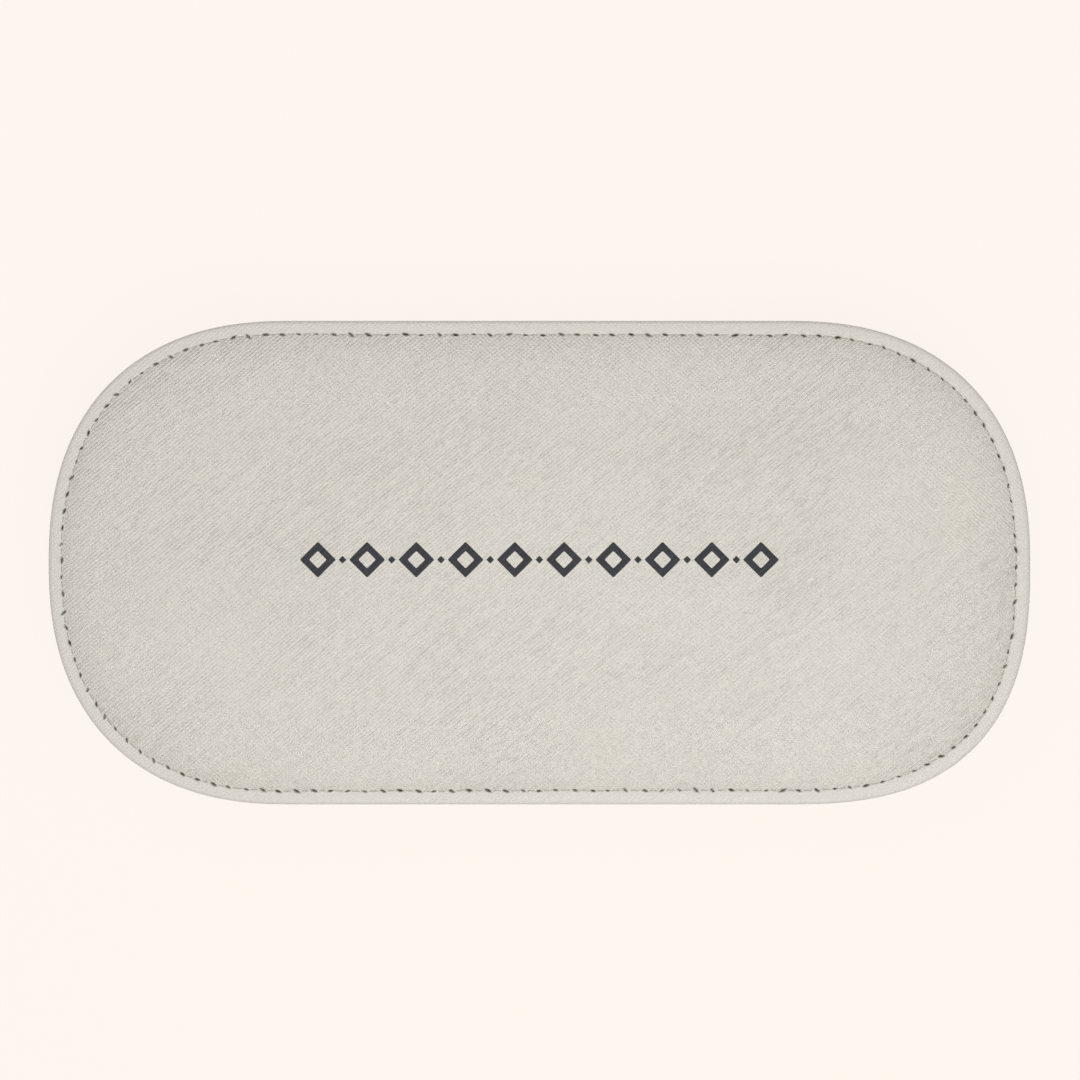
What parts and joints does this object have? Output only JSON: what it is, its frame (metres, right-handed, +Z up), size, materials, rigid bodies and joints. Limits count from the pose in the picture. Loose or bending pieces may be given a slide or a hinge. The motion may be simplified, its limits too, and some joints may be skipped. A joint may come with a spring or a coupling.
{
  "type": "zip-around cosmetic tool case",
  "caption": "Flat stadium-shaped zip-around case for lash tools: padded faux-leather panels with a topstitched rolled edge, folding spine and magnetic bars inside.",
  "frame": {"origin": "centre of the flat bottom of the closed case", "axes": "+X along the case's length, -Y towards the front where the zip sliders meet, +Y towards the spine, +Z up through the lid"},
  "size_m": [0.18, 0.0886, 0.026],
  "materials": {
    "leather": "saffiano-grain faux leather in stone grey-beige, satin",
    "foam": "soft white padding foam",
    "grey_board": "dense grey binder's board",
    "suede": "short-napped microsuede, matte",
    "tape": "woven polyester zip tape",
    "teeth": "moulded nylon teeth, dyed to match the tape",
    "nickel": "nickel-plated zinc, softly polished",
    "magnet": "dark ferrite magnet"
  },
  "bodies": {
    "base_half": {"base_cover": "leather", "base_foam_pad": "foam", "base_board": "grey_board", "base_lining": "suede", "base_zip_tape": "tape", "base_zip_chain": "teeth", "base_zip_stop_right": "nickel", "base_zip_stop_left": "nickel", "base_magnet_cover_left": "suede", "base_magnet_left": "magnet", "base_magnet_cover_right": "suede", "base_magnet_right": "magnet"},
    "spine": {"spine_cover": "leather", "spine_board": "grey_board", "spine_lining": "suede"},
    "lid_half": {"lid_cover": "leather", "lid_foam_pad": "foam", "lid_board": "grey_board", "lid_lining": "suede", "lid_zip_tape": "tape", "lid_zip_chain": "teeth", "lid_zip_stop_right": "nickel", "lid_zip_stop_left": "nickel", "lid_magnet_cover_left": "suede", "lid_magnet_left": "magnet", "lid_magnet_cover_right": "suede", "lid_magnet_right": "magnet"},
    "slider_left": {"zip_slider_left": "nickel"},
    "slider_right": {"zip_slider_right": "nickel"},
    "pull_left": {"pull_tab_left": "nickel"},
    "pull_right": {"pull_tab_right": "nickel"}
  },
  "joints": [
    {"name": "spine_fold", "type": "hinge", "parent": "base_half", "child": "spine", "pos_m": [0, 0.0426, 0.0039], "axis": [-1, 0, 0], "range_deg": [0, 90]},
    {"name": "lid_fold", "type": "hinge", "parent": "spine", "child": "lid_half", "pos_m": [0, 0.0426, 0.0221], "axis": [-1, 0, 0], "range_deg": [0, 90]},
    {"name": "slider_left_travel", "type": "slide", "parent": "base_half", "child": "slider_left", "axis": [-1, 0, 0], "range_m": [0, 0.037]},
    {"name": "slider_right_travel", "type": "slide", "parent": "base_half", "child": "slider_right", "axis": [1, 0, 0], "range_m": [0, 0.037]},
    {"name": "pull_left_swing", "type": "hinge", "parent": "slider_left", "child": "pull_left", "pos_m": [-0.0062, -0.0423, 0.013], "axis": [0, 0, 1], "range_deg": [0, 150]},
    {"name": "pull_right_swing", "type": "hinge", "parent": "slider_right", "child": "pull_right", "pos_m": [0.0062, -0.0423, 0.013], "axis": [0, 0, -1], "range_deg": [0, 150]}
  ]
}
